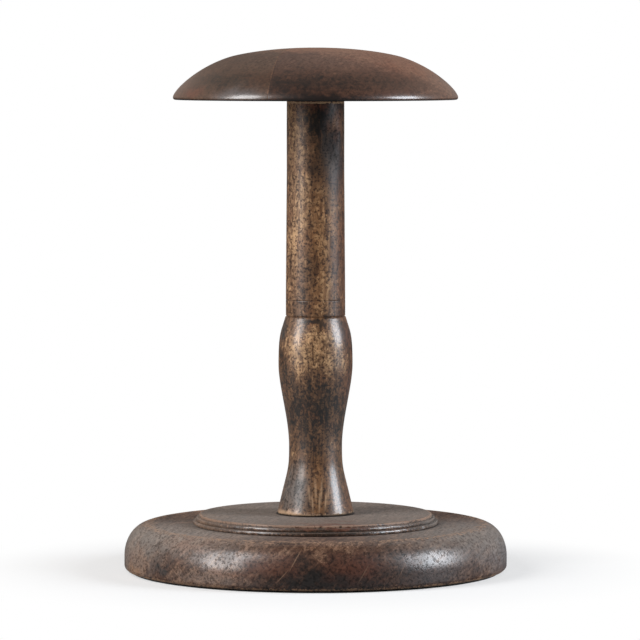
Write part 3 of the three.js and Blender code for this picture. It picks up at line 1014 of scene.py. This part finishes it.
def base():
    rim_start = (BASE_RADIUS - RIM_REACH, BASE_TOP)
    arris = (BASE_RADIUS - BASE_BOTTOM_ROUND * 0.3, BASE_BOTTOM + BASE_BOTTOM_ROUND * 0.3)
    rubbed = [(rim_start, 5 * MM, 0.68), (arris, 1.1 * MM, 0.95)]
    # Darkened where the step stands on the disc and along the bottom edge: painted shade, with some dirt.
    grimy_and_shaded = [
        ((STEP_RADIUS - REED_DEPTH, BASE_TOP), 0.9 * MM, 1),
        ((BASE_RADIUS - BASE_BOTTOM_ROUND, BASE_BOTTOM), 1 * MM, 1),
    ]
    outline = rounded(filled(base_outline(), 6 * MM, rubbed + grimy_and_shaded), radius=0.25 * MM)
    rough = [(rim_start, 5 * MM, 0.15)]
    crumbled = [(arris, 1 * MM, 0.25 * MM)]
    piece = turned(
        "base_disc_wood", outline, sides=216, waver=0.12 * MM,
        rubbed=rubbed, grimy_and_shaded=grimy_and_shaded, rough=rough, crumbled=crumbled,
    )
    finished(piece, ["base_disc"], base_wood)


def step():
    top_edge = (STEP_RADIUS - STEP_TOP_EDGE_INSET, FOOT_Z)
    quirks = [
        (STEP_RADIUS - REED_DEPTH, BASE_TOP),
        (STEP_RADIUS - REED_DEPTH - REED_SET_BACK * 0.8, BASE_TOP + REED_HEIGHT),
        (STEP_RADIUS - STEP_TOP_EDGE_INSET, BASE_TOP + 2 * REED_HEIGHT),
    ]
    rubbed = [(top_edge, 1.1 * MM, 1.4)]
    # Darkened in the quirks between the reeds and round the stem's foot: painted shade, with some dirt.
    grimy_and_shaded = [(quirk, 0.4 * MM, 0.5) for quirk in quirks] + [((FOOT_RADIUS, FOOT_Z), 0.8 * MM, 1.4)]
    outline = rounded(filled(step_outline(), 6 * MM, rubbed + grimy_and_shaded), radius=0.1 * MM)
    chip = (59, BASE_TOP + REED_HEIGHT * 0.6, 3 * MM, 1.4 * MM, 0.9 * MM)
    reeds = [
        (STEP_RADIUS, BASE_TOP + REED_HEIGHT * 0.5),
        (STEP_RADIUS - REED_SET_BACK, BASE_TOP + REED_HEIGHT * 1.5),
    ]
    rough = [(reed, 1 * MM, 1) for reed in reeds]
    crumbled = [(reed, 1.2 * MM, 0.35 * MM) for reed in reeds]
    piece = turned(
        "base_step_wood", outline, sides=300, waver=0.06 * MM,
        rubbed=rubbed, grimy_and_shaded=grimy_and_shaded, rough=rough, crumbled=crumbled, dents=[chip],
    )
    finished(piece, ["base_step"], step_wood)


def stem():
    foot_edge = (FOOT_RADIUS, FOOT_Z + FOOT_ROUND * 0.7)
    shoulder_line = (COLUMN_FOOT_RADIUS, FOOT_Z + SHOULDER[1] + SHOULDER_GROOVE[0] / 2)
    scribed = (COLUMN_FOOT_RADIUS, FOOT_Z + SCRIBED_LINE_HEIGHT)
    top = (COLUMN_TOP_RADIUS, STEM_TOP - 1.3 * MM)
    rubbed = [(foot_edge, 1.3 * MM, 0.95), (top, 0.5 * MM, 1.6)]
    # Darkened under the foot, in the shoulder's groove and in the scribed line: painted shade, with some
    # dirt.
    grimy_and_shaded = [
        ((FOOT_RADIUS - FOOT_ROUND * 0.3, FOOT_Z), 1 * MM, 1.5),
        (shoulder_line, 0.5 * MM, 0.35),
        (scribed, 0.35 * MM, 0.7),
    ]
    outline = rounded(filled(stem_outline(), 5 * MM, rubbed + grimy_and_shaded), radius=0.2 * MM)
    crumbled = [(foot_edge, 0.8 * MM, 0.35 * MM)]
    piece = turned(
        "stem_wood", outline, sides=144, waver=0.05 * MM,
        rubbed=rubbed, grimy_and_shaded=grimy_and_shaded, crumbled=crumbled,
    )
    finished(piece, ["stem"], stem_wood)


def cap():
    bottom_edge = (CAP_RADIUS - CAP_BOTTOM_ROUND * 0.6, STEM_TOP + CAP_BOTTOM_ROUND * 0.2)
    rubbed = [((0, CAP_TOP), 45 * MM, 0.8)]
    # The near-black line along the cap's bottom edge is painted shade.
    grimy_and_shaded = [(bottom_edge, 0.6 * MM, 2)]
    outline = rounded(filled(cap_outline(), 5 * MM, rubbed + grimy_and_shaded), radius=0.2 * MM)
    whole = turned("whole_cap", outline, sides=192, waver=0.03 * MM, rubbed=rubbed, grimy_and_shaded=grimy_and_shaded)
    wide = cap_board("cap_board_wide_wood", whole, 1, WIDE_BOARD_SEAM_WEAR)
    narrow = cap_board("cap_board_narrow_wood", whole, -1, NARROW_BOARD_SEAM_WEAR)
    bpy.data.objects.remove(whole)
    finished(wide, ["cap_board_wide"], wide_board_wood)
    finished(narrow, ["cap_board_narrow"], narrow_board_wood)


def base_screw():
    """The screw's slotted head as packed, on a shank with its thread cut."""
    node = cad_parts["base_screw"]
    steel_mesh = bmesh.new()
    steel_mesh.from_mesh(node.data)
    steel_mesh.transform(node.matrix_world)
    head_top = washer_low.z
    shank = [vert for vert in steel_mesh.verts if vert.co.z > head_top + 0.1 * MM]
    bmesh.ops.delete(steel_mesh, geom=shank, context="VERTS")
    radius = BASE_SCREW_RADIUS
    tip = base_screw_high.z
    thread_start = head_top + (tip - head_top) * PLAIN_SHANK_SHARE
    thread(steel_mesh, [(radius, head_top), (radius, thread_start)], 1)
    point = [(radius, tip - BASE_SCREW_POINT), (radius * SCREW_TIP_SHARE, tip)]
    thread(steel_mesh, [(radius, thread_start), *point], THREAD_CORE)
    screw("base_screw_steel", steel_mesh, "base_screw")


def dowel_screw():
    """The double-ended screw, threaded both ways from a plain shank."""
    radius = dowel_screw_high.x
    shank_radius, shank_length = DOWEL_SCREW_SHANK
    shank_low = STEM_TOP - shank_length / 2
    shank_high = STEM_TOP + shank_length / 2
    tip_radius = radius * SCREW_TIP_SHARE
    low_tip = dowel_screw_low.z
    high_tip = dowel_screw_high.z
    low_point = [(tip_radius, low_tip), (radius, low_tip + DOWEL_SCREW_POINT)]
    high_point = [(radius, high_tip - DOWEL_SCREW_POINT), (tip_radius, high_tip)]
    steel_mesh = bmesh.new()
    thread(steel_mesh, [*low_point, (radius, shank_low)], THREAD_CORE)
    thread(steel_mesh, [(shank_radius, shank_low), (shank_radius, shank_high)], 1)
    thread(steel_mesh, [(radius, shank_high), *high_point], THREAD_CORE)
    screw("cap_dowel_screw_steel", steel_mesh, "cap_dowel_screw")


def screw(name, steel_mesh, node):
    mesh = bpy.data.meshes.new(name)
    steel_mesh.to_mesh(mesh)
    steel_mesh.free()
    finished(place(name, mesh), [node], steel)


def felt_round():
    radius = felt_high.x
    corner = 0.25 * MM
    outline = [
        (0, 0),
        (radius - corner, 0),
        (radius, corner),
        (radius, felt_high.z),
        (0, felt_high.z),
    ]
    piece = turned("base_felt_round", filled(outline, 4 * MM), sides=192, waver=0.35 * MM)
    finished(piece, ["base_felt"], felt)


base()
step()
stem()
cap()
felt_round()
base_screw()
dowel_screw()
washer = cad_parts["base_washer"].data
washer.materials.clear()
washer.materials.append(steel)


# Stage

def floor():
    """White paper: to the camera it fades to plain white away from the stand, and it lights it dimly."""
    reach = 6
    corners = [(-reach, -reach, 0), (reach, -reach, 0), (reach, reach, 0), (-reach, reach, 0)]
    mesh = bpy.data.meshes.new("floor")
    mesh.from_pydata(corners, [], [(0, 1, 2, 3)])
    ground = place("floor", mesh)
    material, paper = new_finish("floor_paper")
    seen = paper.light_path("Is Camera Ray") + paper.light_path("Is Transmission Ray")
    dim = paper.node("ShaderNodeBsdfDiffuse", None, {"Color": (0.24, 0.24, 0.24, 1)})
    pale = paper.node("ShaderNodeBsdfDiffuse", None, {"Color": (0.96, 0.96, 0.96, 1)})
    white = paper.node("ShaderNodeEmission", None, {"Color": (1, 1, 1, 1), "Strength": 1.0})
    away = paper.length(paper.position()).between(100, 180, start=0.5, end=1)
    shown = paper.node("ShaderNodeMixShader", None, {0: away, 1: pale, 2: white})
    surface = paper.node("ShaderNodeMixShader", None, {0: seen.clamp(), 1: dim, 2: shown})
    paper.node("ShaderNodeOutputMaterial", None, {"Surface": surface})
    mesh.materials.append(material)


def daylight():
    """A white studio to the camera, and a dimmer room with a card behind the stand to its surfaces."""
    world = bpy.data.worlds.new("studio")
    world.use_nodes = True
    bpy.context.scene.world = world
    sky = Shading(world.node_tree)
    direction = sky.node("ShaderNodeTexCoord", output="Generated")
    backward = (-math.sin(CAMERA_AZIMUTH), math.cos(CAMERA_AZIMUTH), 0)
    behind = sky.along(direction, backward)
    dim_room = (0.09, 0.09, 0.09, 1)
    bright_room = (0.31, 0.28, 0.255, 1)
    room = sky.blend(behind.between(-0.3, 0.6), dim_room, bright_room)
    card = sky.light_path("Is Glossy Ray") * behind.between(0.994, 0.999, start=0, end=0.6)
    seen = sky.light_path("Is Camera Ray") + sky.light_path("Is Transmission Ray") + card
    tone = sky.blend(seen.clamp(), room, (1, 1, 1, 1))
    background = sky.node("ShaderNodeBackground", None, {"Color": tone, "Strength": 1.0})
    sky.node("ShaderNodeOutputWorld", None, {"Surface": background})


def softbox(name, azimuth, elevation, distance, width, height, power, tint):
    """A soft lamp aimed at the middle of the stand. Azimuth is counted from the camera's side."""
    lamp = bpy.data.lights.new(name, "AREA")
    lamp.shape = "RECTANGLE"
    lamp.size = width
    lamp.size_y = height
    lamp.energy = power
    lamp.color = tint
    turn = CAMERA_AZIMUTH + math.radians(azimuth)
    lift = math.radians(elevation)
    middle = Vector((0, 0, CAP_TOP / 2))
    away = Vector((math.sin(turn) * math.cos(lift), -math.cos(turn) * math.cos(lift), math.sin(lift)))
    box = bpy.data.objects.new(name, lamp)
    box.location = middle + away * distance
    box.rotation_mode = "QUATERNION"
    box.rotation_quaternion = (-away).to_track_quat("-Z", "Y")
    bpy.context.scene.collection.objects.link(box)


def camera():
    data = bpy.data.cameras.new("camera")
    data.sensor_width = 36
    data.lens = CAMERA_LENS
    data.clip_start = 0.1
    data.clip_end = 50
    eye = bpy.data.objects.new("camera", data)
    eye.location = (
        CAMERA_DISTANCE * math.sin(CAMERA_AZIMUTH),
        -CAMERA_DISTANCE * math.cos(CAMERA_AZIMUTH),
        CAMERA_HEIGHT,
    )
    eye.rotation_euler = (math.pi / 2 - CAMERA_PITCH, 0, CAMERA_AZIMUTH - STAND_LEFT_OF_MIDDLE)
    bpy.context.scene.collection.objects.link(eye)
    bpy.context.scene.camera = eye


floor()
daylight()
softbox(
    "left_softbox", azimuth=-61, elevation=26, distance=1.3,
    width=0.56, height=1.1, power=17.5, tint=(0.97, 0.96, 0.96),
)
softbox(
    "right_softbox", azimuth=77, elevation=19, distance=1.3,
    width=0.6, height=0.78, power=17.5, tint=(0.87, 0.93, 1),
)
camera()
bpy.context.scene.view_settings.view_transform = "Standard"
